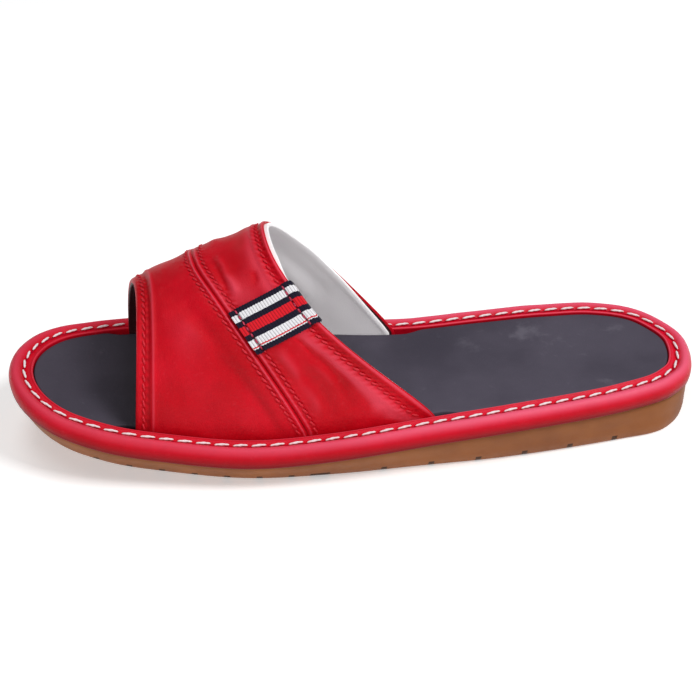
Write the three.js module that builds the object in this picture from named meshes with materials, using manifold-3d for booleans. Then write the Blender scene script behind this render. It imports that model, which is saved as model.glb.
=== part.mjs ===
// Open-toe, open-heel leather house slipper for the left foot.
// Millimetres. +X runs from toe to heel, +Z is up, -Y is the outer (lateral) side of the foot.
// The origin is on the floor, below the middle of the sole's length and width.

import * as THREE from "three";
import { mergeVertices } from "three/addons/utils/BufferGeometryUtils.js";
import Module from "manifold-3d";

// Driving dimensions of the last and the sole.
const soleLength = 267;
const ballWidth = 98;
const heelWidth = 75;
const toeSpring = 14;
const forefootThickness = 9.2;
const heelThickness = 15;
const solePinch = 1.5;
const toeUndercut = 7;
const heelUndercut = 3.5;

// Driving dimensions of the rolled edge, the insole and the upper.
const beadWidth = 5.7;
const beadHeight = 8.5;
const flangeWidth = 4.1;
const flangeHeight = 7.6;
const stitchValley = 0.35;
const flangeTuck = 0.7;
const insoleDrop = 0.8;
const softEdge = 1.2;
const instepHeight = 65;
const upperWall = 2.2;
const panelLap = 1;
const lapWidth = 14;
const clearance = 0.3;

// Driving dimensions of the ribbon and the tread.
const ribbonWidth = 18.1;
const ribbonThickness = 0.9;
const ribbonReturn = 10;
const grooveWidth = 2;
const grooveDepth = 1.6;
const forefootGroovePitch = 12;
const forefootGrooves = 7;
const heelGroovePitch = 18.3;
const heelGrooves = 6;
const archGrooveWidth = 7.2;

// The stitches lie where the bead meets the flange. Flange and insole give way beside the upper.
const bindingWidth = beadWidth + flangeWidth;
const insoleTuck = upperWall + clearance - flangeTuck;
const tuckMargin = 3;
const tuckRun = 8;

// How finely the solids are divided.
const outlineSteps = 54;
const frontPanelSteps = 11;
const rearPanelSteps = 13;
const archSteps = 34;

// Half widths of the outline, as shares of the ball or heel width, from toe tip to heel tip.
const outlineRows = [
  { along: 0.0, lateral: 0, medial: 0, of: ballWidth },
  { along: 0.05, lateral: 0.297, medial: 0.312, of: ballWidth },
  { along: 0.12, lateral: 0.396, medial: 0.421, of: ballWidth },
  { along: 0.22, lateral: 0.451, medial: 0.494, of: ballWidth },
  { along: 0.33, lateral: 0.495, medial: 0.503, of: ballWidth },
  { along: 0.45, lateral: 0.499, medial: 0.426, of: ballWidth },
  { along: 0.58, lateral: 0.474, medial: 0.345, of: ballWidth },
  { along: 0.7, lateral: 0.587, medial: 0.446, of: heelWidth },
  { along: 0.8, lateral: 0.539, medial: 0.456, of: heelWidth },
  { along: 0.88, lateral: 0.475, medial: 0.443, of: heelWidth },
  { along: 0.955, lateral: 0.363, medial: 0.325, of: heelWidth },
  { along: 0.985, lateral: 0.245, medial: 0.18, of: heelWidth },
  { along: 1.0, lateral: 0, medial: 0, of: heelWidth },
];

// How far the outsole tucks in below, under the rolled edge.
const undercutRows = [
  { along: 0.0, inset: toeUndercut },
  { along: 0.45, inset: toeUndercut },
  { along: 0.65, inset: (toeUndercut + heelUndercut) / 2 },
  { along: 0.86, inset: heelUndercut },
  { along: 0.955, inset: heelUndercut * 0.25 },
  { along: 1.0, inset: heelUndercut * 0.75 },
];

// Height of the upper's crest above the flange, as a share of the instep height.
const crestRows = [
  { along: 0.14, height: 0.458 },
  { along: 0.2, height: 0.648 },
  { along: 0.26, height: 0.787 },
  { along: 0.32, height: 0.9 },
  { along: 0.38, height: 1.006 },
  { along: 0.45, height: 1.125 },
  { along: 0.55, height: 1.202 },
  { along: 0.62, height: 1.2 },
];

// Where the front edge, the seam and the collar cross the arch of the upper, as shares of the length.
// Turn 0 is the lateral foot of the arch, 0.5 its crest and 1 its medial foot.
const edgeRows = [
  { turn: 0.0, front: 0.168, seam: 0.41, collar: 0.597 },
  { turn: 0.1667, front: 0.173, seam: 0.342, collar: 0.453 },
  { turn: 0.3333, front: 0.177, seam: 0.292, collar: 0.3925 },
  { turn: 0.5, front: 0.178, seam: 0.264, collar: 0.374 },
  { turn: 0.6667, front: 0.171, seam: 0.271, collar: 0.391 },
  { turn: 0.8333, front: 0.165, seam: 0.32, collar: 0.454 },
  { turn: 1.0, front: 0.162, seam: 0.392, collar: 0.576 },
];

// Fullness of the arch: 2 is an ellipse, more is squarer. The crest leans to the medial side.
const archFullness = { front: 2.19, rear: 2.31 };
const crestLean = 0.053;
const archTable = { from: 0.15, to: 0.45 };

// The ribbon's middle line crosses the arch at these turns, at the seam and at the collar.
const ribbonTurn = { seam: 0.2345, collar: 0.262 };

// Where the sole lifts off the floor, and where its wedge thickens, as shares of the length.
const springStart = 0.38;
const wedge = { start: 0.3, end: 0.8 };
const archGrooveAt = 0.4275;
const forefootGrooveAt = 0.1175;
const heelGrooveAt = 0.519;

const wasm = await Module();
wasm.setup();

// A smooth curve through points whose x rises, with the slope of a parabola at each of them.
function smoothCurve(x, y) {
  const last = x.length - 1;
  const step = (i) => x[i + 1] - x[i];
  const rise = (i) => (y[i + 1] - y[i]) / step(i);
  const slopeAt = (i) => {
    const inner = THREE.MathUtils.clamp(i, 1, last - 1);
    const bend = (rise(inner) - rise(inner - 1)) / (step(inner - 1) + step(inner));
    return rise(inner - 1) + bend * (2 * x[i] - x[inner - 1] - x[inner]);
  };
  return (at) => {
    const clamped = THREE.MathUtils.clamp(at, x[0], x[last]);
    const i = Math.min(x.findIndex((_, k) => k === last - 1 || clamped < x[k + 1]), last - 1);
    const s = (clamped - x[i]) / step(i);
    const startSlope = s * (1 - s) ** 2 * step(i) * slopeAt(i);
    const endSlope = s * s * (s - 1) * step(i) * slopeAt(i + 1);
    const share = s * s * (3 - 2 * s);
    return THREE.MathUtils.lerp(y[i], y[i + 1], share) + startSlope + endSlope;
  };
}

function tableCurve(rows, key, column) {
  return smoothCurve(rows.map((row) => row[key]), rows.map((row) => row[column]));
}

// The squares of the half widths are blended, which rounds the toe and the heel.
function halfWidthCurve(column) {
  const squared = smoothCurve(
    outlineRows.map((row) => row.along),
    outlineRows.map((row) => (row[column] * row.of) ** 2),
  );
  return (along) => Math.sqrt(Math.max(squared(along), 0));
}

const lateralHalf = halfWidthCurve("lateral");
const medialHalf = halfWidthCurve("medial");
const crestShare = tableCurve(crestRows, "along", "height");
const frontEdge = tableCurve(edgeRows, "turn", "front");
const seamLine = tableCurve(edgeRows, "turn", "seam");
const collarEdge = tableCurve(edgeRows, "turn", "collar");

function lengthAt(along) {
  return (along - 0.5) * soleLength;
}

// The stations of the outline lie closer together towards the round ends.
const stations = Array.from({ length: outlineSteps }, (_, i) => {
  return (1 - Math.cos((Math.PI * (i + 0.5)) / outlineSteps)) / 2;
});
const lateralReach = Math.max(...stations.map(lateralHalf));
const medialReach = Math.max(...stations.map(medialHalf));
const middleShift = (lateralReach - medialReach) / 2;

function outlinePoint(side, along) {
  const y = side < 0 ? -lateralHalf(along) : medialHalf(along);
  return new THREE.Vector2(lengthAt(along), y + middleShift);
}

// The lift of the sole's underside and the thickness of the wedge, at any place along the length.
function soleLift(x) {
  const along = x / soleLength + 0.5;
  return toeSpring * (Math.max(springStart - along, 0) / springStart) ** 2;
}

function wedgeTop(x) {
  const along = x / soleLength + 0.5;
  const share = THREE.MathUtils.smoothstep(along, wedge.start, wedge.end);
  return soleLift(x) + THREE.MathUtils.lerp(forefootThickness, heelThickness, share);
}

// One closed loop of points: the lateral side from toe to heel, then the medial side back.
const loopStations = [
  ...stations.map((along) => ({ side: -1, along, point: outlinePoint(-1, along) })),
  ...stations.toReversed().map((along) => ({ side: 1, along, point: outlinePoint(1, along) })),
];

const loopNormals = loopStations.map((_, i) => {
  const count = loopStations.length;
  const before = loopStations[(i + count - 1) % count].point;
  const after = loopStations[(i + 1) % count].point;
  const run = after.clone().sub(before).normalize();
  return new THREE.Vector2(run.y, -run.x);
});

// The outline moved inwards by an inset, at a height worked out from the place along the shoe.
function insetLoop(insetAt, heightAt) {
  return loopStations.map((station, i) => {
    const flat = station.point.clone().addScaledVector(loopNormals[i], -insetAt(station));
    return new THREE.Vector3(flat.x, flat.y, heightAt(flat.x));
  });
}

// A skin over a row of closed loops. An open row is closed at both ends by strips across its loops.
function lofted(loops, closedRow = false) {
  const count = loops[0].length;
  const positions = loops.flat().flatMap((point) => point.toArray());
  const faces = [];
  const rows = closedRow ? loops.length : loops.length - 1;
  for (let k = 0; k < rows; k += 1) {
    const low = k * count;
    const high = ((k + 1) % loops.length) * count;
    for (let i = 0; i < count; i += 1) {
      const next = (i + 1) % count;
      faces.push(low + i, low + next, high + next);
      faces.push(low + i, high + next, high + i);
    }
  }
  const top = (loops.length - 1) * count;
  for (let i = 0; i < count / 2 - 1 && !closedRow; i += 1) {
    const across = count - 1 - i;
    faces.push(across, i + 1, i, across, across - 1, i + 1);
    faces.push(top + across, top + i, top + i + 1, top + across, top + i + 1, top + across - 1);
  }
  const geometry = new THREE.BufferGeometry();
  geometry.setAttribute("position", new THREE.Float32BufferAttribute(positions, 3));
  geometry.setIndex(faces);
  return geometry;
}

function toSolid(geometry) {
  const bare = geometry.index ? geometry.toNonIndexed() : geometry.clone();
  bare.deleteAttribute("normal");
  bare.deleteAttribute("uv");
  const merged = mergeVertices(bare);
  return new wasm.Manifold(new wasm.Mesh({
    numProp: 3,
    vertProperties: new Float32Array(merged.attributes.position.array),
    triVerts: new Uint32Array(merged.index.array),
  }));
}

function toGeometry(solid) {
  const mesh = solid.getMesh();
  const geometry = new THREE.BufferGeometry();
  geometry.setAttribute("position", new THREE.Float32BufferAttribute(mesh.vertProperties, 3));
  geometry.setIndex(Array.from(mesh.triVerts));
  return geometry;
}

// Outsole: a wedge that tucks in towards the floor, with rounded lower edge and cross grooves.
const undercut = tableCurve(undercutRows, "along", "inset");

function soleSideLoop(heightShare, extraInset) {
  const insetAt = (station) => {
    return THREE.MathUtils.lerp(undercut(station.along), solePinch, heightShare) + extraInset;
  };
  return insetLoop(insetAt, (x) => THREE.MathUtils.lerp(soleLift(x), wedgeTop(x), heightShare));
}

function grooveCutter(along, width) {
  const x = lengthAt(along);
  const slope = (soleLift(x + 1) - soleLift(x - 1)) / 2;
  const cutter = new THREE.BoxGeometry(width, ballWidth * 1.5, grooveDepth * 2);
  cutter.rotateY(-Math.atan(slope));
  cutter.translate(x, 0, soleLift(x));
  return toSolid(cutter);
}

function outsoleGeometry() {
  const edgeShare = softEdge / forefootThickness;
  const body = lofted([
    soleSideLoop(0, softEdge),
    soleSideLoop(edgeShare * 0.35, softEdge * 0.3),
    soleSideLoop(edgeShare, 0),
    soleSideLoop(0.55, -softEdge * 0.3),
    soleSideLoop(0.92, 0),
    soleSideLoop(1, softEdge * 0.4),
  ]);
  let solid = toSolid(body);
  for (let i = 0; i < forefootGrooves; i += 1) {
    const along = forefootGrooveAt + (i * forefootGroovePitch) / soleLength;
    solid = solid.subtract(grooveCutter(along, grooveWidth));
  }
  solid = solid.subtract(grooveCutter(archGrooveAt, archGrooveWidth));
  for (let i = 0; i < heelGrooves; i += 1) {
    const along = heelGrooveAt + (i * heelGroovePitch) / soleLength;
    solid = solid.subtract(grooveCutter(along, grooveWidth));
  }
  return toGeometry(solid);
}

// 1 beside the upper, whose foot goes down between flange and insole, and 0 elsewhere.
function tuckAt(station) {
  const turn = station.side < 0 ? 0 : 1;
  const beforeFront = (frontEdge(turn) - station.along) * soleLength;
  const behindCollar = (station.along - collarEdge(turn)) * soleLength;
  const beyond = Math.max(beforeFront, behindCollar);
  return 1 - THREE.MathUtils.smoothstep(beyond, tuckMargin, tuckMargin + tuckRun);
}

// Binding: a round bead outside, a shallow valley for the stitches and a flat flange inside.
function bindingGeometry() {
  const valley = flangeHeight - stitchValley;
  const profile = [
    { inset: bindingWidth, height: clearance, tucks: 1 },
    { inset: 0.26 * beadWidth, height: clearance, tucks: 0 },
    { inset: 0.04 * beadWidth, height: 0.25 * beadHeight, tucks: 0 },
    { inset: 0, height: 0.5 * beadHeight, tucks: 0 },
    { inset: 0.09 * beadWidth, height: 0.74 * beadHeight, tucks: 0 },
    { inset: 0.32 * beadWidth, height: 0.93 * beadHeight, tucks: 0 },
    { inset: 0.58 * beadWidth, height: beadHeight, tucks: 0 },
    { inset: 0.82 * beadWidth, height: 0.95 * beadHeight, tucks: 0 },
    { inset: beadWidth, height: valley, tucks: 0 },
    { inset: bindingWidth - 0.55 * flangeWidth, height: valley, tucks: 0.4 },
    { inset: bindingWidth - 0.1 * flangeWidth, height: flangeHeight, tucks: 1 },
    { inset: bindingWidth, height: flangeHeight - 0.12 * flangeWidth, tucks: 1 },
  ];
  const loops = profile.map((row) => {
    const insetAt = (station) => row.inset - row.tucks * flangeTuck * tuckAt(station);
    return insetLoop(insetAt, (x) => wedgeTop(x) + row.height);
  });
  return lofted(loops, true);
}

// Insole: fills the ring, a little lower than the flange, with a softly rounded edge.
function insoleGeometry() {
  const edgeAt = (station) => bindingWidth + clearance + insoleTuck * tuckAt(station);
  const top = flangeHeight - insoleDrop;
  const rows = [
    { inset: 0, height: clearance },
    { inset: 0, height: top - softEdge },
    { inset: 0.3 * softEdge, height: top - 0.3 * softEdge },
    { inset: softEdge, height: top },
  ];
  return lofted(rows.map((row) => {
    return insetLoop((station) => edgeAt(station) + row.inset, (x) => wedgeTop(x) + row.height);
  }));
}

// Upper: an arch over the foot. Its feet stand on the outsole between flange and insole.
const upperInset = bindingWidth - flangeTuck + clearance;

function footPoint(side, along) {
  const step = 0.001;
  const run = outlinePoint(side, along + step).sub(outlinePoint(side, along - step)).normalize();
  const inwards = new THREE.Vector2(side * run.y, -side * run.x);
  return outlinePoint(side, along).addScaledVector(inwards, upperInset);
}

function archPoint(along, turn) {
  const lateral = footPoint(-1, along);
  const medial = footPoint(1, along);
  const share = (along - archTable.from) / (archTable.to - archTable.from);
  const fullness = THREE.MathUtils.lerp(archFullness.front, archFullness.rear, share);
  const cosine = Math.cos(Math.PI * turn);
  const sine = Math.max(Math.sin(Math.PI * turn), 0);
  const rise = sine ** (2 / fullness);
  const across = crestLean * rise - Math.sign(cosine) * Math.abs(cosine) ** (2 / fullness);
  const x = (lateral.x + medial.x + (medial.x - lateral.x) * across) / 2;
  const y = (lateral.y + medial.y + (medial.y - lateral.y) * across) / 2;
  const flange = wedgeTop(lengthAt(along)) + flangeHeight - insoleDrop;
  return new THREE.Vector3(x, y, flange + instepHeight * crestShare(along) * rise);
}

// Run 0 is the front edge, 1 the seam and 2 the collar.
function alongAt(run, turn) {
  if (run <= 1) return THREE.MathUtils.lerp(frontEdge(turn), seamLine(turn), run);
  return THREE.MathUtils.lerp(seamLine(turn), collarEdge(turn), run - 1);
}

function wallPoint(run, turn, outwards, past = 0) {
  const step = 0.01;
  const before = archPoint(alongAt(run, turn), Math.max(turn - step, 0));
  const after = archPoint(alongAt(run, turn), Math.min(turn + step, 1));
  const rear = archPoint(alongAt(run, turn) + step, turn);
  const front = archPoint(alongAt(run, turn) - step, turn);
  const lengthwise = rear.sub(front).normalize();
  const outward = lengthwise.clone().cross(after.sub(before)).normalize();
  const point = archPoint(alongAt(run, turn), turn);
  return point.addScaledVector(outward, outwards).addScaledVector(lengthwise, past);
}

// One closed loop round the wall: up and over outside, then back inside. The lap fades out at the flange.
const flangeReach = 0.06;

function wallLoop(run, lap) {
  const outside = [];
  const inside = [];
  for (let j = 0; j <= archSteps; j += 1) {
    const turn = j / archSteps;
    const clearOfFlange = THREE.MathUtils.smoothstep(Math.min(turn, 1 - turn), 0, flangeReach);
    outside.push(wallPoint(run, turn, lap * clearOfFlange));
    inside.push(wallPoint(run, turn, -upperWall));
  }
  for (const face of [outside, inside]) {
    for (const [place, end] of [["unshift", face[0]], ["push", face[face.length - 1]]]) {
      face[place](new THREE.Vector3(end.x, end.y, wedgeTop(end.x) + clearance));
    }
  }
  return [...outside, ...inside.reverse()];
}

function upperGeometry() {
  const lapSlope = 0.01;
  const loops = [];
  for (let i = rearPanelSteps; i >= 0; i -= 1) {
    loops.push(wallLoop(1 + i / rearPanelSteps, 0));
  }
  const panelLength = (seamLine(0.5) - frontEdge(0.5)) * soleLength;
  for (let i = frontPanelSteps; i >= 0; i -= 1) {
    const run = i / frontPanelSteps;
    const fromSeam = (1 - run) * panelLength;
    const lap = panelLap * (1 - THREE.MathUtils.smoothstep(fromSeam, 0, lapWidth));
    loops.push(wallLoop(Math.min(run, 1 - lapSlope), lap));
  }
  return lofted(loops);
}

// Ribbon tab: lies on the rear panel from the seam, wraps the collar edge and returns inside.
function ribbonLoop(across) {
  const outerPath = [];
  const innerPath = [];
  const seamGap = 0.05;
  const rimSpan = archPoint(collarEdge(ribbonTurn.collar), ribbonTurn.collar + 0.01)
    .distanceTo(archPoint(collarEdge(ribbonTurn.collar), ribbonTurn.collar - 0.01));
  const turnsAcross = (0.02 * ribbonWidth) / rimSpan;
  const corner = Math.SQRT1_2;
  const layers = [
    { path: innerPath, off: clearance },
    { path: outerPath, off: clearance + ribbonThickness },
  ];
  for (const { path, off } of layers) {
    const turnAt = (run) => {
      const middle = THREE.MathUtils.lerp(ribbonTurn.seam, ribbonTurn.collar, run - 1);
      return middle + across * turnsAcross;
    };
    for (const run of [1 + seamGap, 1.2, 1.4, 1.6, 1.8, 2]) {
      path.push(wallPoint(run, turnAt(run), off));
    }
    const rim = turnAt(2);
    path.push(wallPoint(2, rim, off * corner, off * corner));
    path.push(wallPoint(2, rim, 0, off));
    path.push(wallPoint(2, rim, -upperWall, off));
    path.push(wallPoint(2, rim, -upperWall - off * corner, off * corner));
    for (const back of [0, 0.5, 1]) {
      path.push(wallPoint(2, rim, -upperWall - off, -back * ribbonReturn));
    }
  }
  return [...outerPath, ...innerPath.reverse()];
}

function ribbonGeometry() {
  const loops = [];
  const columns = 6;
  for (let i = 0; i <= columns; i += 1) {
    loops.push(ribbonLoop(i / columns - 0.5));
  }
  return lofted(loops);
}

function piece(name, geometry, color, roughness) {
  geometry.computeVertexNormals();
  const mesh = new THREE.Mesh(geometry, new THREE.MeshStandardMaterial({
    color,
    roughness,
    metalness: 0,
  }));
  mesh.name = name;
  return mesh;
}

const slipper = new THREE.Group();
slipper.add(piece("outsole", outsoleGeometry(), 0x94603c, 0.7));
slipper.add(piece("binding", bindingGeometry(), 0xbc1428, 0.35));
slipper.add(piece("insole", insoleGeometry(), 0x4b4553, 0.85));
slipper.add(piece("upper", upperGeometry(), 0xc21a2c, 0.4));
slipper.add(piece("ribbon_tab", ribbonGeometry(), 0x23263f, 0.8));

export default slipper;
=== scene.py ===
"""Looks of a left open-toe leather house slipper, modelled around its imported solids.

Sizes are in millimetres and turned to metres where a mesh is placed. +X runs from toe to heel,
-Y is the outer (lateral) side and +Z is up, as in the solids.
"""

import math

import bpy
import numpy as np
from mathutils import Matrix, Vector


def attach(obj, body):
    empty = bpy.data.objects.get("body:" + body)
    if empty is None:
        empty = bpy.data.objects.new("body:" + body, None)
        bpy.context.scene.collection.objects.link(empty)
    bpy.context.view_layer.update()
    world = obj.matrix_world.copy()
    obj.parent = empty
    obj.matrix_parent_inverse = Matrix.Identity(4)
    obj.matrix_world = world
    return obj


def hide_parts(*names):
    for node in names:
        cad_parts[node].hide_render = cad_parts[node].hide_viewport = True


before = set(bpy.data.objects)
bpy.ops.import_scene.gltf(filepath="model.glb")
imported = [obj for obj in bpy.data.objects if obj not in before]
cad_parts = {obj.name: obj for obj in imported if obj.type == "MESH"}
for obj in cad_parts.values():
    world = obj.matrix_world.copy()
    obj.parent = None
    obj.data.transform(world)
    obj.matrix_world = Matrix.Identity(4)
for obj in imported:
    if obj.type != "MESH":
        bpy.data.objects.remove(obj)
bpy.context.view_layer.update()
MM = 0.001

# Sizes of the solids, in millimetres.
SOLE_LENGTH = 267
BALL_WIDTH = 98
HEEL_WIDTH = 75
TOE_SPRING = 14
FOREFOOT_THICKNESS = 9.2
HEEL_THICKNESS = 15
SOLE_PINCH = 1.5
TOE_UNDERCUT = 7
HEEL_UNDERCUT = 3.5
BEAD_WIDTH = 5.7
BEAD_HEIGHT = 8.5
FLANGE_WIDTH = 4.1
FLANGE_HEIGHT = 7.6
STITCH_VALLEY = 0.35
FLANGE_TUCK = 0.7
INSOLE_DROP = 0.8
SOFT_EDGE = 1.2
INSTEP_HEIGHT = 65
UPPER_WALL = 2.2
CLEARANCE = 0.3
RIBBON_WIDTH = 18.1
RIBBON_RETURN = 10
GROOVE_WIDTH = 2
GROOVE_DEPTH = 1.6
ARCH_GROOVE_WIDTH = 7.2
BINDING_WIDTH = BEAD_WIDTH + FLANGE_WIDTH
INSOLE_TUCK = UPPER_WALL + CLEARANCE - FLANGE_TUCK
TUCK_MARGIN = 3
TUCK_RUN = 8

# Half widths of the outline as shares of the ball or heel width: along, lateral, medial, of.
OUTLINE = [
    (0.0, 0, 0, BALL_WIDTH),
    (0.05, 0.297, 0.312, BALL_WIDTH),
    (0.12, 0.396, 0.421, BALL_WIDTH),
    (0.22, 0.451, 0.494, BALL_WIDTH),
    (0.33, 0.495, 0.503, BALL_WIDTH),
    (0.45, 0.499, 0.426, BALL_WIDTH),
    (0.58, 0.474, 0.345, BALL_WIDTH),
    (0.7, 0.587, 0.446, HEEL_WIDTH),
    (0.8, 0.539, 0.456, HEEL_WIDTH),
    (0.88, 0.475, 0.443, HEEL_WIDTH),
    (0.955, 0.363, 0.325, HEEL_WIDTH),
    (0.985, 0.245, 0.18, HEEL_WIDTH),
    (1.0, 0, 0, HEEL_WIDTH),
]
# How far the outsole tucks in below: along, inset.
UNDERCUT = [
    (0.0, TOE_UNDERCUT),
    (0.45, TOE_UNDERCUT),
    (0.65, (TOE_UNDERCUT + HEEL_UNDERCUT) / 2),
    (0.86, HEEL_UNDERCUT),
    (0.955, HEEL_UNDERCUT * 0.25),
    (1.0, HEEL_UNDERCUT * 0.75),
]
# Crest of the upper above the flange: along, share of the instep height.
CREST = [
    (0.14, 0.458),
    (0.2, 0.648),
    (0.26, 0.787),
    (0.32, 0.9),
    (0.38, 1.006),
    (0.45, 1.125),
    (0.55, 1.202),
    (0.62, 1.2),
]
# Edges of the upper across the arch: turn, front, seam, collar.
EDGES = [
    (0.0, 0.168, 0.41, 0.597),
    (0.1667, 0.173, 0.342, 0.453),
    (0.3333, 0.177, 0.292, 0.3925),
    (0.5, 0.178, 0.264, 0.374),
    (0.6667, 0.171, 0.271, 0.391),
    (0.8333, 0.165, 0.32, 0.454),
    (1.0, 0.162, 0.392, 0.576),
]
ARCH_FULLNESS = (2.19, 2.31)
ARCH_TABLE = (0.15, 0.45)
CREST_LEAN = 0.053
SPRING_START = 0.38
WEDGE = (0.3, 0.8)
RIBBON_TURN = (0.2345, 0.262)
# Cross grooves of the sole, with a wide one under the arch: along, width.
GROOVES = [(0.1175 + i * 12 / SOLE_LENGTH, GROOVE_WIDTH) for i in range(7)]
GROOVES += [(0.4275, ARCH_GROOVE_WIDTH)]
GROOVES += [(0.519 + i * 18.3 / SOLE_LENGTH, GROOVE_WIDTH) for i in range(6)]


# Shape functions of the last, the same as in the solids.
def smoothstep(value, low, high):
    share = np.clip((value - low) / (high - low), 0, 1)
    return share * share * (3 - 2 * share)


def smooth_curve(rows, column):
    """A smooth curve through a table's column, against its first column."""
    xs = np.array([row[0] for row in rows], float)
    ys = np.array([row[column] for row in rows], float)
    step = np.diff(xs)
    rise = np.diff(ys) / step
    inner = np.clip(np.arange(len(xs)), 1, len(xs) - 2)
    bend = (rise[inner] - rise[inner - 1]) / (step[inner - 1] + step[inner])
    slope = rise[inner - 1] + bend * (2 * xs - xs[inner - 1] - xs[inner])

    def value(at):
        at = np.clip(at, xs[0], xs[-1])
        i = np.clip(np.searchsorted(xs, at, side="right") - 1, 0, len(xs) - 2)
        s = (at - xs[i]) / step[i]
        share = s * s * (3 - 2 * s)
        start = s * (1 - s) ** 2 * step[i] * slope[i]
        end = s * s * (s - 1) * step[i] * slope[i + 1]
        return ys[i] * (1 - share) + ys[i + 1] * share + start + end

    return value


lateral_square = smooth_curve([(row[0], (row[1] * row[3]) ** 2) for row in OUTLINE], 1)
medial_square = smooth_curve([(row[0], (row[2] * row[3]) ** 2) for row in OUTLINE], 1)
undercut = smooth_curve(UNDERCUT, 1)
crest_share = smooth_curve(CREST, 1)
front_edge = smooth_curve(EDGES, 1)
seam_line = smooth_curve(EDGES, 2)
collar_edge = smooth_curve(EDGES, 3)


def run_along(points):
    """Distance run from the first point of a line to each of its points."""
    steps = np.linalg.norm(np.diff(points, axis=0), axis=1)
    return np.concatenate([[0], np.cumsum(steps)])


def half_width(side, along):
    square = np.where(np.asarray(side) < 0, lateral_square(along), medial_square(along))
    return np.sqrt(np.maximum(square, 0))


STATION_COUNT = 54
STATIONS = (1 - np.cos(np.pi * (np.arange(STATION_COUNT) + 0.5) / STATION_COUNT)) / 2
MIDDLE_SHIFT = (half_width(-1, STATIONS).max() - half_width(1, STATIONS).max()) / 2


def outline_point(side, along):
    x = (along - 0.5) * SOLE_LENGTH
    return np.stack([x, side * half_width(side, along) + MIDDLE_SHIFT], -1)


def sole_lift(x):
    along = x / SOLE_LENGTH + 0.5
    return TOE_SPRING * (np.maximum(SPRING_START - along, 0) / SPRING_START) ** 2


def wedge_top(x):
    share = smoothstep(x / SOLE_LENGTH + 0.5, *WEDGE)
    return sole_lift(x) + FOREFOOT_THICKNESS + (HEEL_THICKNESS - FOREFOOT_THICKNESS) * share


# The outline as a loop: angle 0 is the toe tip, pi the heel tip, and the lateral side comes first.
def loop_point(angle):
    side = np.where(np.sin(angle) >= 0, -1, 1)
    return outline_point(side, (1 - np.cos(angle)) / 2)


def loop_inset(angle, inset):
    run = loop_point(angle + 0.004) - loop_point(angle - 0.004)
    run /= np.linalg.norm(run, axis=-1, keepdims=True)
    inwards = np.stack([-run[..., 1], run[..., 0]], -1)
    return loop_point(angle) + inwards * np.broadcast_to(inset, angle.shape)[..., None]


HALF_LOOP = np.linspace(0, np.pi, 2000)
HALF_RUN = run_along(loop_point(HALF_LOOP))


def angle_at(share):
    """Even steps along the lateral side, mirrored on the medial side."""
    folded = np.minimum(share, 1 - share) * 2
    angle = np.interp(folded * HALF_RUN[-1], HALF_RUN, HALF_LOOP)
    return np.where(share <= 0.5, angle, 2 * np.pi - angle)


def tuck_share(angle):
    """1 beside the upper, where flange and insole give way to its foot, and 0 elsewhere."""
    along = (1 - np.cos(angle)) / 2
    turn = np.where(np.sin(angle) >= 0, 0.0, 1.0)
    before = (front_edge(turn) - along) * SOLE_LENGTH
    behind = (along - collar_edge(turn)) * SOLE_LENGTH
    return 1 - smoothstep(np.maximum(before, behind), TUCK_MARGIN, TUCK_MARGIN + TUCK_RUN)


def foot_point(side, along):
    run = outline_point(side, along + 0.001) - outline_point(side, along - 0.001)
    run /= np.linalg.norm(run, axis=-1, keepdims=True)
    inwards = np.stack([side * run[..., 1], -side * run[..., 0]], -1)
    return outline_point(side, along) + inwards * (BINDING_WIDTH - FLANGE_TUCK + CLEARANCE)


def arch_point(along, turn):
    lateral = foot_point(-1, along)
    medial = foot_point(1, along)
    share = (along - ARCH_TABLE[0]) / (ARCH_TABLE[1] - ARCH_TABLE[0])
    fullness = ARCH_FULLNESS[0] + (ARCH_FULLNESS[1] - ARCH_FULLNESS[0]) * share
    cosine = np.cos(np.pi * turn)
    rise = np.maximum(np.sin(np.pi * turn), 0) ** (2 / fullness)
    across = CREST_LEAN * rise - np.sign(cosine) * np.abs(cosine) ** (2 / fullness)
    flat = (lateral + medial + (medial - lateral) * across[..., None]) / 2
    flange = wedge_top((along - 0.5) * SOLE_LENGTH) + FLANGE_HEIGHT - INSOLE_DROP
    height = flange + INSTEP_HEIGHT * crest_share(along) * rise
    return np.concatenate([flat, height[..., None]], -1)


def along_at(run, turn):
    """Run 0 is the front edge of the upper, 1 its seam and 2 its collar."""
    front_part = front_edge(turn) + (seam_line(turn) - front_edge(turn)) * np.minimum(run, 1)
    rear_part = (collar_edge(turn) - seam_line(turn)) * np.maximum(run - 1, 0)
    return front_part + rear_part


def unit(vectors):
    return vectors / np.maximum(np.linalg.norm(vectors, axis=-1, keepdims=True), 1e-12)


def wall_frame(along, turn):
    """Point of the upper's outer face, its outward direction and the direction to the heel."""
    point = arch_point(along, turn)
    across = arch_point(along, np.minimum(turn + 0.01, 1)) - arch_point(along, np.maximum(turn - 0.01, 0))
    lengthwise = unit(arch_point(along + 0.01, turn) - arch_point(along - 0.01, turn))
    outward = unit(np.cross(lengthwise, across))
    return point, outward, lengthwise


ARCH_GIRTH = 161


def edge_slope(edge, turn):
    return (edge(turn + 0.01) - edge(turn - 0.01)) / 0.02 * SOLE_LENGTH / ARCH_GIRTH


def edge_distance(edge, along, turn):
    """Distance in millimetres from an edge line of the upper, positive towards the heel."""
    return (along - edge(turn)) * SOLE_LENGTH / np.sqrt(1 + edge_slope(edge, turn) ** 2)


def bump_at(distance, centre, width):
    return np.exp(-(((distance - centre) / width) ** 2))


# Mesh making. Points nearer than this, in metres, are merged.
MERGE_DISTANCE = 1e-6


def deselect():
    if bpy.context.object and bpy.context.object.mode != "OBJECT":
        bpy.ops.object.mode_set(mode="OBJECT")
    bpy.ops.object.select_all(action="DESELECT")


def select_only(*objects):
    deselect()
    for item in objects:
        item.select_set(True)
    bpy.context.view_layer.objects.active = objects[0]


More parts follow.
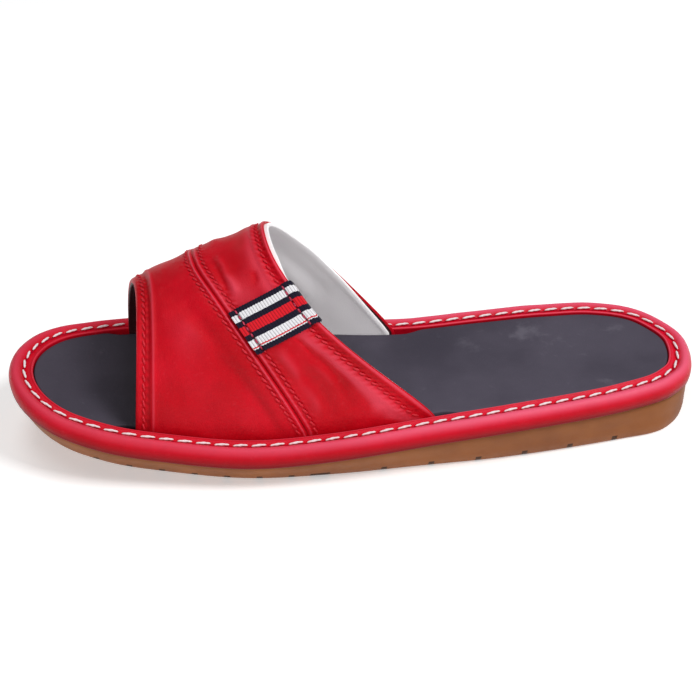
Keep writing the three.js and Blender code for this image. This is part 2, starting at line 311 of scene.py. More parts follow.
def merge_and_face_out(piece):
    select_only(piece)
    bpy.ops.object.mode_set(mode="EDIT")
    bpy.ops.mesh.select_all(action="SELECT")
    bpy.ops.mesh.remove_doubles(threshold=MERGE_DISTANCE)
    bpy.ops.mesh.normals_make_consistent(inside=False)
    bpy.ops.object.mode_set(mode="OBJECT")


def laid_grid(name, columns, rows, place):
    """A grid primitive whose points are laid by place(u, v), in millimetres, with its UV map."""
    deselect()
    bpy.ops.mesh.primitive_grid_add(x_subdivisions=columns, y_subdivisions=rows, size=1)
    piece = bpy.context.object
    piece.name = piece.data.name = name
    flat = np.empty(len(piece.data.vertices) * 3)
    piece.data.vertices.foreach_get("co", flat)
    flat = flat.reshape(-1, 3)
    placed = place(np.round(flat[:, 0] + 0.5, 9), np.round(flat[:, 1] + 0.5, 9))
    piece.data.vertices.foreach_set("co", (placed * MM).ravel())
    piece.data.update()
    merge_and_face_out(piece)
    return piece


def corner_uv(piece):
    corners = piece.data.uv_layers.active.data
    flat = np.empty(len(corners) * 2)
    corners.foreach_get("uv", flat)
    return flat.reshape(-1, 2)


def add_tone(piece, value):
    """Stores value(u, v) at each face corner, for the piece's material to read."""
    flat = np.round(corner_uv(piece), 9)
    tone = piece.data.attributes.new("tone", "FLOAT", "CORNER")
    tone.data.foreach_set("value", value(flat[:, 0], flat[:, 1]).astype(np.float32))


def apply_modifier(piece, kind, **settings):
    select_only(piece)
    modifier = piece.modifiers.new(kind.title(), kind)
    for key, value in settings.items():
        setattr(modifier, key, value)
    bpy.ops.object.modifier_apply(modifier=modifier.name)


def smooth(piece, degrees):
    select_only(piece)
    bpy.ops.object.shade_smooth_by_angle(angle=math.radians(degrees))


def joined(name, parts):
    select_only(*parts)
    bpy.ops.object.join()
    piece = bpy.context.object
    piece.name = piece.data.name = name
    return piece


def finish_piece(piece, material, slot, *nodes):
    piece.data.materials.clear()
    piece.data.materials.append(material)
    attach(piece, "root")
    if nodes:
        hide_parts(*nodes)


# Shader maths: sockets wrapped so that expressions add Math nodes.
class Sock:
    def __init__(self, tree, socket):
        self.tree = tree
        self.socket = socket

    def _math(self, operation, other=None, swap=False):
        node = self.tree.nodes.new("ShaderNodeMath")
        node.operation = operation
        values = [self, other] if not swap else [other, self]
        for index, value in enumerate(values):
            put(self.tree, node.inputs[index], value)
        return Sock(self.tree, node.outputs[0])

    def __abs__(self):
        return self._math("ABSOLUTE")

    def __add__(self, other):
        return self._math("ADD", other)

    def __radd__(self, other):
        return self._math("ADD", other)

    def __sub__(self, other):
        return self._math("SUBTRACT", other)

    def __rsub__(self, other):
        return self._math("SUBTRACT", other, swap=True)

    def __mul__(self, other):
        return self._math("MULTIPLY", other)

    def __rmul__(self, other):
        return self._math("MULTIPLY", other)

    def __gt__(self, other):
        return self._math("GREATER_THAN", other)

    def __lt__(self, other):
        return self._math("LESS_THAN", other)


def put(tree, target, value):
    if value is None:
        return
    if isinstance(value, Sock):
        tree.links.new(value.socket, target)
    elif isinstance(value, (tuple, list)) and len(value) == 3 and target.type == "RGBA":
        target.default_value = (*value, 1)
    else:
        target.default_value = value


class Shader:
    """One material: its tree, its principled shader and one way to add any node."""

    def __init__(self, name, **fixed):
        self.material = bpy.data.materials.new(name)
        self.material.use_nodes = True
        self.tree = self.material.node_tree
        self.surface = self.tree.nodes["Principled BSDF"]
        self.set(**fixed)

    def set(self, **sockets):
        for key, value in sockets.items():
            put(self.tree, self.surface.inputs[key.replace("_", " ")], value)

    def add(self, kind, settings=None, out=0, **sockets):
        node = self.tree.nodes.new(kind)
        for key, value in (settings or {}).items():
            setattr(node, key, value)
        for key, value in sockets.items():
            numbered = key[0] == "i" and key[1:].isdigit()
            put(self.tree, node.inputs[int(key[1:]) if numbered else key], value)
        return Sock(self.tree, node.outputs[out])

    def place(self):
        return self.add("ShaderNodeTexCoord", out="Object")

    def split(self, vector, index):
        return self.add("ShaderNodeSeparateXYZ", out=index, i0=vector)

    def uv(self, index):
        return self.split(self.add("ShaderNodeUVMap", {"uv_map": "UVMap"}), index)

    def axis(self, index):
        """One object coordinate, in metres."""
        return self.split(self.place(), index)

    def tone(self):
        """The tone stored by add_tone: over 0 where a highlight is painted, under 0 where shade is
        painted.
        """
        return self.add("ShaderNodeAttribute", {"attribute_name": "tone"}, out="Fac")

    def noise(self, scale, detail=3, roughness=0.5):
        texture = {"Scale": scale, "Detail": detail, "Roughness": roughness}
        return self.add("ShaderNodeTexNoise", Vector=self.place(), **texture)

    def cells(self, scale):
        edges = {"feature": "DISTANCE_TO_EDGE"}
        return self.add("ShaderNodeTexVoronoi", edges, Vector=self.place(), Scale=scale)

    def ramp(self, value, low, high, start=0.0, end=1.0):
        spans = {"From Min": low, "From Max": high, "To Min": start, "To Max": end}
        return self.add("ShaderNodeMapRange", {"interpolation_type": "SMOOTHSTEP"}, Value=value, **spans)

    def mix(self, factor, first, second):
        return self.add("ShaderNodeMix", {"data_type": "RGBA"}, out=2, i0=factor, i6=first, i7=second)

    def bump(self, height, strength, distance):
        return self.add("ShaderNodeBump", Height=height, Strength=strength, Distance=distance)


def srgb(red, green, blue):
    """An sRGB colour, 0 to 255, as Blender's linear values."""
    values = np.array([red, green, blue]) / 255
    linear = np.where(values <= 0.04045, values / 12.92, ((values + 0.055) / 1.055) ** 2.4)
    return tuple(float(value) for value in linear)


def leather(name, color, deep, roughness, specular, grain=1.0):
    """Soft finished leather: fine pebbled grain, broad tone changes and a worn-in shine."""
    shader = Shader(name, IOR=1.5, Specular_IOR_Level=specular)
    broad = shader.ramp(shader.noise(26, 3), 0.35, 0.68)
    tone = shader.mix(broad, deep, color)
    mottled = shader.ramp(shader.noise(150, 4, 0.7), 0.4, 0.62)
    tone = shader.mix(mottled * 0.14, tone, srgb(158, 6, 26))
    rubbed = shader.ramp(shader.noise(420, 4, 0.7), 0.58, 0.74)
    tone = shader.mix(rubbed * 0.1, tone, srgb(240, 90, 104))
    shader.set(Roughness=shader.noise(120, 3) * 0.14 + (roughness - 0.07))
    pebbles = shader.ramp(shader.cells(1500), 0.0, 0.25)
    height = pebbles * 0.35 + shader.noise(900, 4, 0.6) * 0.35 + shader.noise(260, 5, 0.65) * 0.6
    shader.set(Normal=shader.bump(height, 0.4 * grain, 0.0004))
    return shader, tone


def banded(shader, value, tone, bands, fade=1.0):
    """Lays bands of other colours over a tone: middle and reach on the value, colour and strength."""
    for middle, reach, color, strength in bands:
        near = shader.ramp(abs(value - middle), 0.0, reach, strength, 0.0)
        tone = shader.mix(near * fade, tone, color)
    return tone


def upper_leather(inside):
    """Red outside and dark on the hidden side between two places along the sheet, as painted shade inside
    the front opening.
    """
    shader, tone = leather("upper_leather", srgb(222, 12, 36), srgb(200, 5, 24), 0.4, 0.13)
    # The stored tone is painted light: painted highlights on edges, ridges and gathers, and painted shade
    # in grooves and hollows.
    worn = shader.tone()
    tone = shader.mix(shader.ramp(worn, 0.0, 1.0, 0.0, 0.7), tone, srgb(244, 84, 106))
    tone = shader.mix(shader.ramp(worn, 0.0, -1.0, 0.0, 0.8), tone, srgb(138, 0, 8))
    # Painted shade: the inner face is painted dark.
    along_sheet = shader.uv(0)
    hidden = (along_sheet > inside[0]) * (along_sheet < inside[1])
    shader.set(Base_Color=shader.mix(hidden, tone, srgb(62, 26, 30)))
    return shader.material


def edge_leather(shades, lights):
    """The binding's leather, with painted shade and painted highlights laid along the rows of its
    section.
    """
    shader, tone = leather("edge_leather", srgb(222, 10, 40), srgb(208, 6, 30), 0.36, 0.11, 0.6)
    row = shader.uv(1) * float(len(BINDING_PROFILE))
    # The painted highlights weaken towards the toe.
    from_toe = shader.ramp(shader.axis(0), -0.1, 0.06, 0.4, 1.0)
    tone = banded(shader, row, tone, lights, from_toe)
    shader.set(Base_Color=banded(shader, row, tone, shades))
    return shader.material


def rubber():
    """Gum rubber: satin, slightly mottled, with painted shade inside the cross grooves."""
    shader = Shader("gum_rubber", IOR=1.5, Specular_IOR_Level=0.3)
    mottled = shader.ramp(shader.noise(60, 4), 0.3, 0.7)
    tone = shader.mix(mottled, srgb(130, 72, 27), srgb(146, 85, 36))
    x, height = shader.axis(0), shader.axis(2)
    # Painted shade inside the grooves and the nicks at their ends.
    groove_shade = 0.0
    for along, width in GROOVES:
        middle = (along - 0.5) * SOLE_LENGTH
        deep = float(sole_lift(np.array(middle)) + NICK_HEIGHT + 0.1) * MM
        inside = abs(x - middle * MM) < (width / 2 + 0.12) * MM
        groove_shade = inside * (height < deep) + groove_shade
    shader.set(Base_Color=shader.mix(groove_shade * 0.85, tone, srgb(48, 26, 14)))
    shader.set(Roughness=shader.noise(300, 3) * 0.2 + 0.42)
    shader.set(Normal=shader.bump(shader.noise(1200, 3), 0.12, 0.0003))
    return shader.material


def insole_cloth():
    """Charcoal insole: matt, close-textured, with faint scuffs and creases where the heel rubs, and
    painted shade under the upper and towards the toe.
    """
    shader = Shader("insole_charcoal", IOR=1.45, Specular_IOR_Level=0.25)
    clouds = shader.ramp(shader.noise(20, 4), 0.35, 0.7)
    base = shader.mix(clouds, srgb(66, 62, 74), srgb(84, 79, 92))
    x = shader.axis(0)
    # Painted shade where the upper covers the insole.
    shaded = shader.ramp(x, -0.104, -0.084) * shader.ramp(x, 0.012, -0.03)
    base = shader.mix(shaded * 0.75, base, srgb(22, 17, 21))
    # Painted shade, darker towards the toe tip.
    toe = shader.ramp(x, -0.07, -0.11)
    base = shader.mix(toe * 0.4, base, srgb(50, 44, 52))
    at_heel = shader.ramp(x, 0.03, 0.06) * shader.ramp(x, 0.122, 0.1)
    smudges = shader.ramp(shader.noise(48, 5, 0.62), 0.56, 0.74) * at_heel
    scuffs = shader.ramp(shader.noise(150, 5, 0.7), 0.62, 0.74)
    base = shader.mix(smudges * 0.35 + scuffs * 0.12, base, srgb(134, 130, 142))
    shader.set(Base_Color=base)
    shader.set(Roughness=0.6 - smudges * 0.14)
    weave = shader.noise(2200, 2)
    wrinkles = shader.noise(80, 6, 0.6) * (at_heel * 1.2 + 0.5)
    shader.set(Normal=shader.bump(weave * 0.3 + wrinkles * 1.6, 0.35, 0.0008))
    return shader.material


def lining_cloth(rim, reach):
    """Pale lining: fine even weave, matt, with a painted highlight on the rolled band along its rim and a
    faint painted glow.
    """
    shader = Shader("lining_cloth", IOR=1.45, Specular_IOR_Level=0.3)
    cloth = shader.ramp(shader.noise(40, 3), 0.3, 0.7)
    tone = shader.mix(cloth, srgb(236, 233, 236), srgb(247, 245, 247))
    # Painted highlight on the band along the rim.
    shader.set(Base_Color=banded(shader, shader.uv(0), tone, [(rim, reach, srgb(255, 254, 255), 1.0)]))
    # Painted light: a faint glow that lightens the cloth.
    shader.set(Roughness=0.85, Emission_Color=srgb(255, 250, 250), Emission_Strength=0.15)
    shader.set(Normal=shader.bump(shader.noise(2500, 2), 0.25, 0.0003))
    return shader.material


def thread(name, color, shade):
    shader = Shader(name, IOR=1.45)
    shader.set(Base_Color=shader.mix(shader.ramp(shader.noise(1800, 3), 0.3, 0.7), shade, color))
    shader.set(Roughness=0.55)
    shader.set(Normal=shader.bump(shader.noise(4000, 2), 0.3, 0.0002))
    return shader.material


# The ribbon's stripes from its upper selvedge down: share of the width where each ends, and its colour.
NAVY = srgb(17, 18, 38)
WHITE = srgb(248, 246, 250)
RED = srgb(232, 24, 38)
RIBBON_STRIPES = [
    (0.12, NAVY),
    (0.28, WHITE),
    (0.4, NAVY),
    (0.59, RED),
    (0.71, NAVY),
    (0.855, WHITE),
    (0.88, RED),
    (0.9, WHITE),
    (1.0, NAVY),
]


def grosgrain(length, rows):
    """Ribbed ribbon: stripes across its width, ribs across its length, painted shade between the ribs and
    where it is sewn down.
    """
    shader = Shader("grosgrain", IOR=1.45, Specular_IOR_Level=0.15)
    run, across = shader.uv(0) * length, shader.uv(1)
    phase = run * (2 * math.pi / RIB_PITCH) + math.pi / 2
    rib = shader.add("ShaderNodeMath", {"operation": "SINE"}, i0=phase)
    gap = shader.ramp(rib, 0.2, 0.95)
    wander = shader.noise(900, 2) * 0.02 - 0.01
    color = RIBBON_STRIPES[-1][1]
    for end, stripe in reversed(RIBBON_STRIPES[:-1]):
        color = shader.mix((across + wander) < end, color, stripe)
    yarn = shader.noise(2600, 2)
    color = shader.mix(yarn * 0.08, color, srgb(120, 96, 116))
    # Painted shade in the gaps between the ribs.
    color = shader.mix(gap * 0.6, color, shader.mix(0.35, srgb(14, 8, 22), color))
    # Painted shade in the sunk rows where the ribbon is sewn down.
    color = banded(shader, run, color, [(row, 0.75, srgb(70, 10, 32), 0.85) for row in rows])
    shader.set(Base_Color=color)
    shader.set(Roughness=0.55 + gap * 0.2)
    shader.set(Normal=shader.bump(yarn, 0.3, 0.0002))
    return shader.material


# Outsole: gum rubber wedge with a tucked-in lower edge and cross grooves.
SOLE_GRID = (360, 44)
# Shares of the grid's rows where the side begins and ends, between underside and top.
SOLE_SIDE_ROWS = (0.25, 0.75)
# Section of the side: share of its rows, share of its height, inset.
SOLE_SIDE = [
    (0.0, 0.0, SOFT_EDGE),
    (0.06, 0.0457, SOFT_EDGE * 0.3),
    (0.12, 0.13, 0.0),
    (0.5, 0.55, -SOFT_EDGE * 0.3),
    (0.88, 0.92, 0.0),
    (1.0, 1.0, SOFT_EDGE * 0.4),
]
sole_height = smooth_curve(SOLE_SIDE, 1)
sole_inset = smooth_curve(SOLE_SIDE, 2)


def sole_edge(angle, side):
    height = sole_height(side)
    along = (1 - np.cos(angle)) / 2
    inset = undercut(along) + (SOLE_PINCH - undercut(along)) * height + sole_inset(side)
    return loop_inset(angle, inset), height


def folded_rows(v, side_rows):
    """Share of the side that a row has reached, and how far it has gone in under or over the middle."""
    low, high = side_rows
    side = np.clip((v - low) / (high - low), 0, 1)
    inward = np.where(v < low, 1 - v / low, np.where(v > high, (v - high) / (1 - high), 0))
    return side, inward[:, None] / 2


def place_outsole(u, v):
    angle = angle_at(u)
    side, inward = folded_rows(v, SOLE_SIDE_ROWS)
    flat, height = sole_edge(angle, side)
    other, _ = sole_edge(2 * np.pi - angle, side)
    flat = flat * (1 - inward) + other * inward
    low = sole_lift(flat[:, 0])
    high = wedge_top(flat[:, 0])
    return np.column_stack([flat, low + (high - low) * height])


# The nicks in the sole's sides, where its cross grooves end: sizes in millimetres.
GROOVE_END = 3
NICK_HEIGHT = 3.1
NICK_DEPTH = 1.3
NICK_SIDE = 0.35
CUTTER_REACH = 8
CUTTER_BELOW = 1.5


def side_y(along, side, share):
    """Y of the outsole's side face at a share of its height, on one side of the foot."""
    angle = math.acos(1 - 2 * along)
    flat, _ = sole_edge(np.array([angle if side < 0 else 2 * math.pi - angle]), np.array([share]))
    return float(flat[0, 1])


def box_cutter(along, width, height, ends):
    """A cube laid between two ends, each given as its y at the bottom and at the top."""
    deselect()
    bpy.ops.mesh.primitive_cube_add(size=1)
    cutter = bpy.context.object
    for vertex in cutter.data.vertices:
        x = (along - 0.5) * SOLE_LENGTH + vertex.co.x * width
        top = vertex.co.z > 0
        y = ends[int(vertex.co.y > 0)][int(top)]
        z = float(sole_lift(np.array(x))) + (height if top else -CUTTER_BELOW)
        vertex.co = Vector((x, y, z)) * MM
    return cutter


def groove_cutters(along, width):
    """A cross groove that stops short of the sides, and a nick in each side at its ends."""
    edges = [side_y(along, side, 0.0) for side in (-1, 1)]
    groove = [(edges[0] + GROOVE_END,) * 2, (edges[1] - GROOVE_END,) * 2]
    cutters = [box_cutter(along, width, GROOVE_DEPTH, groove)]
    for side, edge in zip((-1, 1), edges):
        inner = (side_y(along, side, NICK_SIDE) - side * NICK_DEPTH,) * 2
        outer = (edge + side * CUTTER_REACH,) * 2
        cutters.append(box_cutter(along, width, NICK_HEIGHT, sorted([inner, outer])))
    return cutters


def make_outsole():
    sole = laid_grid("outsole_rubber", *SOLE_GRID, place_outsole)
    cutters = [cutter for groove in GROOVES for cutter in groove_cutters(*groove)]
    cutter = joined("groove_cutters", cutters)
    apply_modifier(sole, "BOOLEAN", operation="DIFFERENCE", object=cutter, solver="EXACT")
    bpy.data.objects.remove(cutter)
    smooth(sole, 38)
    finish_piece(sole, rubber(), "sole_rubber", "outsole")


# Insole: padded, drawn a little fuller than its solid, with a rounded edge and worn hollows.
PAD_RISE = 0.7
# Where no upper stands beside it, the flange is drawn narrower than its solid, as the leather lies.
FLANGE_TRIM = 0.6
INSOLE_GRID = (320, 60)
INSOLE_SIDE_ROWS = (0.1, 0.45)
# Section of the side: share of its rows, share of the soft edge as inset, share of its height.
INSOLE_SIDE = [
    (0.0, 0.0, 0.0),
    (0.3, 0.0, 0.75),
    (0.55, 0.06, 0.88),
    (0.8, 0.35, 0.97),
    (1.0, 1.3, 1.0),
]
insole_inset = smooth_curve(INSOLE_SIDE, 1)
insole_rise = smooth_curve(INSOLE_SIDE, 2)
# Hollows worn by the foot: x, y, reach in x, reach in y, depth, all in millimetres.
HOLLOWS = [
    (84, -2, 36, 24, 0.9),
    (-50, 2, 44, 32, 0.7),
    (-104, 4, 14, 22, 0.3),
]


def hollow_depth(x, y):
    """Depth worn into the pad."""
    depth = np.zeros_like(x)
    for middle_x, middle_y, reach_x, reach_y, deep in HOLLOWS:
        depth += deep * bump_at(x, middle_x, reach_x) * bump_at(y, middle_y, reach_y)
    return depth


def place_insole(u, v):
    angle = angle_at(u)
    side, inward = folded_rows(v, INSOLE_SIDE_ROWS)
    tuck = tuck_share(angle)
    inset = BINDING_WIDTH + CLEARANCE - FLANGE_TRIM * (1 - tuck)
    inset = inset + SOFT_EDGE * insole_inset(side) + INSOLE_TUCK * tuck
    flat = loop_inset(angle, inset) * (1 - inward) + loop_inset(2 * np.pi - angle, inset) * inward
    top = FLANGE_HEIGHT - INSOLE_DROP + PAD_RISE
    height = CLEARANCE + (top - CLEARANCE) * insole_rise(side)
    x, y = flat[:, 0], flat[:, 1]
    worn = np.where(v > INSOLE_SIDE_ROWS[1], 1, side)
    return np.column_stack([flat, wedge_top(x) + height - hollow_depth(x, y) * worn])


def make_insole():
    insole = laid_grid("insole_pad", *INSOLE_GRID, place_insole)
    smooth(insole, 50)
    finish_piece(insole, insole_cloth(), "insole_cloth", "insole")


# Binding: round bead, stitched valley and flange, rolled in one strip of leather.
BINDING_PROFILE = [
    (BINDING_WIDTH, CLEARANCE, 1),
    (0.26 * BEAD_WIDTH, CLEARANCE, 0),
    (0.04 * BEAD_WIDTH, 0.25 * BEAD_HEIGHT, 0),
    (0, 0.5 * BEAD_HEIGHT, 0),
    (0.09 * BEAD_WIDTH, 0.74 * BEAD_HEIGHT, 0),
    (0.3 * BEAD_WIDTH, 0.92 * BEAD_HEIGHT, 0),
    (0.55 * BEAD_WIDTH, 0.99 * BEAD_HEIGHT, 0),
    (0.8 * BEAD_WIDTH, 0.93 * BEAD_HEIGHT, 0),
    (BEAD_WIDTH, FLANGE_HEIGHT - STITCH_VALLEY, 0),
    (BINDING_WIDTH - 0.62 * FLANGE_WIDTH, FLANGE_HEIGHT - STITCH_VALLEY, 0.3),
    (BINDING_WIDTH - 0.32 * FLANGE_WIDTH, FLANGE_HEIGHT + 0.05, 0.7),
    (BINDING_WIDTH - 0.14 * FLANGE_WIDTH, FLANGE_HEIGHT + 0.45, 1),
    (BINDING_WIDTH, FLANGE_HEIGHT + 0.1, 1),
    (BINDING_WIDTH, FLANGE_HEIGHT - 0.2 * FLANGE_WIDTH, 1),
]
BINDING_GRID = (1100, 56)
# Painted shade round the section, low on the bead and in the stitch valley: profile row, reach in rows,
# colour and strength.
BINDING_PAINTED_SHADE = [
    (1.0, 3.4, srgb(118, 0, 8), 1.0),
    (8.1, 0.55, srgb(140, 4, 42), 0.65),
]
# Painted highlights on the bead's shoulder and on the flange, which fade towards the toe.
BINDING_PAINTED_HIGHLIGHTS = [
    (5.6, 2.3, srgb(248, 104, 134), 0.85),
    (9.7, 1.1, srgb(238, 62, 90), 0.4),
    (11.3, 0.9, srgb(246, 92, 116), 0.75),
]
STITCH_COUNT = 86
STITCH_SHARE = 0.84
STITCH_LIFT = 0.6
STITCH_SLANT = 0.35
STITCH_RADIUS = 0.48
STITCH_INSET = BEAD_WIDTH + 0.1
# The valley that the stitches draw in, and their holes, whose reach is a share of the pitch.
VALLEY_INSET = BEAD_WIDTH + 0.2
VALLEY_REACH = 1.2
VALLEY_DEPTH = 0.1
HOLE_REACH = 0.12
HOLE_DEPTH = 0.45


def stitch_line(angle, aside=0.0):
    flat = loop_inset(angle, STITCH_INSET + aside)
    height = FLANGE_HEIGHT - STITCH_VALLEY + STITCH_LIFT
    return np.column_stack([flat, wedge_top(flat[:, 0]) + height])


STITCH_ANGLES = np.linspace(0, 2 * np.pi, 6001)
STITCH_RUN = run_along(stitch_line(STITCH_ANGLES))
STITCH_PITCH = STITCH_RUN[-1] / STITCH_COUNT


def rounded_profile(shares):
    """The binding's section, rounded between its table rows."""
    rows = np.array(BINDING_PROFILE, float)
    count = len(rows)
    place = shares * count
    i = np.floor(place).astype(int) % count
    s = (place - np.floor(place))[:, None]
    before, start, end, after = (rows[(i + k) % count] for k in (-1, 0, 1, 2))
    tension = np.where((i == 0) | (i == count - 1), 0.0, 0.5)[:, None]
    end_tension = np.where((i == count - 1) | (i == count - 2), 0.0, 0.5)[:, None]
    share = s * s * (3 - 2 * s)
    slopes = s * (1 - s) ** 2 * (end - before) * tension + s * s * (s - 1) * (after - start) * end_tension
    return start * (1 - share) + end * share + slopes


def place_binding(u, v):
    angle = angle_at(u)
    rows = rounded_profile(v)
    tuck = tuck_share(angle)
    inset = rows[:, 0] - rows[:, 2] * (FLANGE_TUCK * tuck + FLANGE_TRIM * (1 - tuck))
    run = np.interp(angle, STITCH_ANGLES, STITCH_RUN)
    phase = np.mod(run / STITCH_PITCH, 1)
    at_hole = bump_at(phase, 1, HOLE_REACH) + bump_at(phase, 0, HOLE_REACH)
    on_top = rows[:, 1] > BEAD_HEIGHT / 2
    valley = bump_at(rows[:, 0], VALLEY_INSET, VALLEY_REACH) * on_top
    wave = 0.05 * np.sin(run * 0.19 + 1.3) + 0.03 * np.sin(run * 0.47)
    on_bead = smoothstep(rows[:, 1], 1, 7) * smoothstep(-rows[:, 0], -5, -1)
    height = rows[:, 1] - valley * (VALLEY_DEPTH + HOLE_DEPTH * at_hole) + on_bead * wave
    flat = loop_inset(angle, inset)
    return np.column_stack([flat, wedge_top(flat[:, 0]) + height])


def make_binding():
    binding = laid_grid("binding_roll", *BINDING_GRID, place_binding)
    smooth(binding, 60)
    finish_piece(binding, edge_leather(BINDING_PAINTED_SHADE, BINDING_PAINTED_HIGHLIGHTS), "edge_leather", "binding")


def stitch_model(length, radius, columns=12, sides=10):
    """One stitch of two-ply thread lying along X, arched, with its ends drawn to a point."""

    def place(u, v):
        angle = v * 2 * np.pi
        arch = np.sin(np.pi * u)
        ply = 1 + 0.14 * np.cos(2 * angle - 5 * np.pi * u)
        reach = radius * arch**0.38 * ply
        lift = 0.35 * radius * (arch**0.6 - 1)
        across = reach * np.cos(angle)
        return np.column_stack([(u - 0.5) * length, across, lift + 0.9 * reach * np.sin(angle)])

    return laid_grid("stitch_model", columns, sides, place)


def stitched(name, model, starts, ends, outward):
    """Copies of one stitch, each laid from its start to its end with its top facing outward."""
    run = unit(ends - starts)
    aside = unit(np.cross(outward, run))
    up = np.cross(run, aside)
    copies = []
    for k, middle in enumerate((starts + ends) / 2 * MM):
        turn = Matrix(np.column_stack([run[k], aside[k], up[k]]).tolist()).to_4x4()
        copy = model.copy()
        copy.data = model.data.copy()
        copy.data.transform(Matrix.Translation(middle.tolist()) @ turn)
        bpy.context.scene.collection.objects.link(copy)
        copies.append(copy)
    bpy.data.objects.remove(model)
    rows = joined(name, copies)
    smooth(rows, 60)
    return rows


def make_white_stitches():
    first = (np.arange(STITCH_COUNT) + 0.5 - STITCH_SHARE / 2) * STITCH_PITCH
    last = first + STITCH_SHARE * STITCH_PITCH
    starts = stitch_line(np.interp(first, STITCH_RUN, STITCH_ANGLES), -STITCH_SLANT)
    ends = stitch_line(np.interp(last, STITCH_RUN, STITCH_ANGLES), STITCH_SLANT)
    model = stitch_model(STITCH_PITCH * STITCH_SHARE, STITCH_RADIUS)
    up = np.tile((0, 0, 1.0), (STITCH_COUNT, 1))
    rows = stitched("white_stitches", model, starts, ends, up)
    finish_piece(rows, thread("white_thread", srgb(255, 252, 252), srgb(242, 228, 232)), "white_thread")


# Upper: two panels of soft leather with folded hems, a channelled seam and creases.
LEATHER = 0.95
LINING = 1.15
SHEET_GAP = 0.05
LINING_RISE = 1.6
LINING_DROP = 1.5
UPPER_ROWS = 390
LINING_ROWS = 140
HEM_DEPTH = 7.2
PUCKER_PITCH = 3.2
# Rows of red stitches: edge line and distance behind it, in millimetres.
STITCH_ROWS = [
    (front_edge, 3.2),
    (seam_line, -1.7),
    (seam_line, 3.9),
    (collar_edge, -3.3),
]
# How each row gathers the leather: width and height in millimetres, and strength of its marks of painted
# highlight and shade.
GATHERS = [(1.0, 0.14), (1.0, 0.14), (1.2, 0.16), (1.3, 0.25)]
MARKS = (0.28, 0.22, 0.22, 0.25)
MARK_WIDTH = 1.2
# Relief, and painted highlights and shade, beside the edge lines: distance, reach, and height or
# strength.
HEM_RELIEF = [(1.2, 0.9, 0.3), (4.9, 0.9, -0.45), (6.8, 0.8, 0.5)]
SEAM_RELIEF = [(-0.15, 0.3, 0.4), (0.85, 0.34, -0.65), (2.1, 0.42, 0.4)]
COLLAR_RELIEF = [(-0.9, 0.7, 0.35), (-2.4, 0.9, -0.35), (-5.0, 1.0, 0.45), (-8.0, 2.8, 0.5)]
HEM_PAINTED_LIGHT = [(0.3, 0.6, 0.45), (4.9, 1.1, -0.55), (6.7, 0.6, 0.6)]
SEAM_PAINTED_LIGHT = [(-0.15, 0.33, 1.0), (0.85, 0.3, -0.7), (2.1, 0.45, 0.7)]
COLLAR_PAINTED_LIGHT = [(-0.4, 0.6, 0.9), (-2.2, 0.8, -0.4), (-6.2, 2.6, 0.5)]
# Painted highlight low along the collar, painted sheen on the rear panel and painted shade in a valley in
# front of the seam: distance, reach and strength.
LOW_COLLAR_PAINTED_HIGHLIGHT = [(-6.2, 3.0, 0.35)]
REAR_PAINTED_SHEEN = [(9.0, 8.0, 0.5)]
FRONT_VALLEY_SHADE = [(-6.3, 2.0, -0.25)]
ROW_TURNS = np.linspace(0.004, 0.996, 1200)


def row_line(edge, offset):
    """Places along a stitch row: share of the length, point of the wall and outward direction."""
    along = edge(ROW_TURNS) + offset * np.sqrt(1 + edge_slope(edge, ROW_TURNS) ** 2) / SOLE_LENGTH
    point, outward, _ = wall_frame(along, ROW_TURNS)
    return along, point, outward


ROW_RUNS = [run_along(row_line(edge, offset)[1]) for edge, offset in STITCH_ROWS]

# Folds worn into the leather: start and end (along, turn), height and width in millimetres.
FOLDS = [
    ((0.418, 0.152), (0.476, 0.053), -1.0, 2.2),
    ((0.455, 0.085), (0.505, 0.01), -0.6, 3.6),
    ((0.412, 0.185), (0.476, 0.095), 0.75, 2.4),
    ((0.476, 0.095), (0.557, 0.012), 0.75, 2.6),
    ((0.4, 0.185), (0.421, 0.146), -0.45, 0.5),
    ((0.405, 0.184), (0.424, 0.148), -0.35, 0.5),
    ((0.374, 0.172), (0.404, 0.099), 0.6, 1.9),
    ((0.404, 0.099), (0.431, 0.036), 0.45, 2.4),
    ((0.405, 0.115), (0.451, 0.028), -0.45, 2.4),
    ((0.42, 0.129), (0.461, 0.061), 0.4, 1.5),
    ((0.47, 0.02), (0.515, 0.008), 0.5, 2.6),
    ((0.51, 0.012), (0.566, 0.004), -0.45, 2.0),
    ((0.3, 0.49), (0.309, 0.41), 0.45, 1.2),
    ((0.309, 0.41), (0.323, 0.335), 0.55, 1.4),
    ((0.291, 0.483), (0.31, 0.331), -0.4, 1.3),
    ((0.33, 0.5), (0.339, 0.372), 0.3, 3.2),
    ((0.349, 0.385), (0.35, 0.345), -0.35, 1.4),
    ((0.216, 0.45), (0.243, 0.369), -0.2, 4.0),
    ((0.243, 0.369), (0.291, 0.181), -0.25, 2.4),
    ((0.291, 0.181), (0.364, 0.03), -0.35, 2.2),
    ((0.21, 0.4), (0.25, 0.2), 0.3, 7.0),
    ((0.24, 0.299), (0.283, 0.2), 0.2, 2.4),
    ((0.205, 0.14), (0.29, 0.04), -0.3, 5.0),
    ((0.39, 0.8), (0.46, 0.95), -0.8, 3.0),
    ((0.42, 0.82), (0.5, 0.94), 0.6, 2.6),
    ((0.35, 0.8), (0.39, 0.93), 0.5, 2.2),
    ((0.3, 0.56), (0.31, 0.7), 0.3, 2.4),
    ((0.23, 0.62), (0.29, 0.78), -0.3, 5.0),
]
FOLD_DEPTH = 1.5
FOLD_SIZE = np.array([SOLE_LENGTH, ARCH_GIRTH])


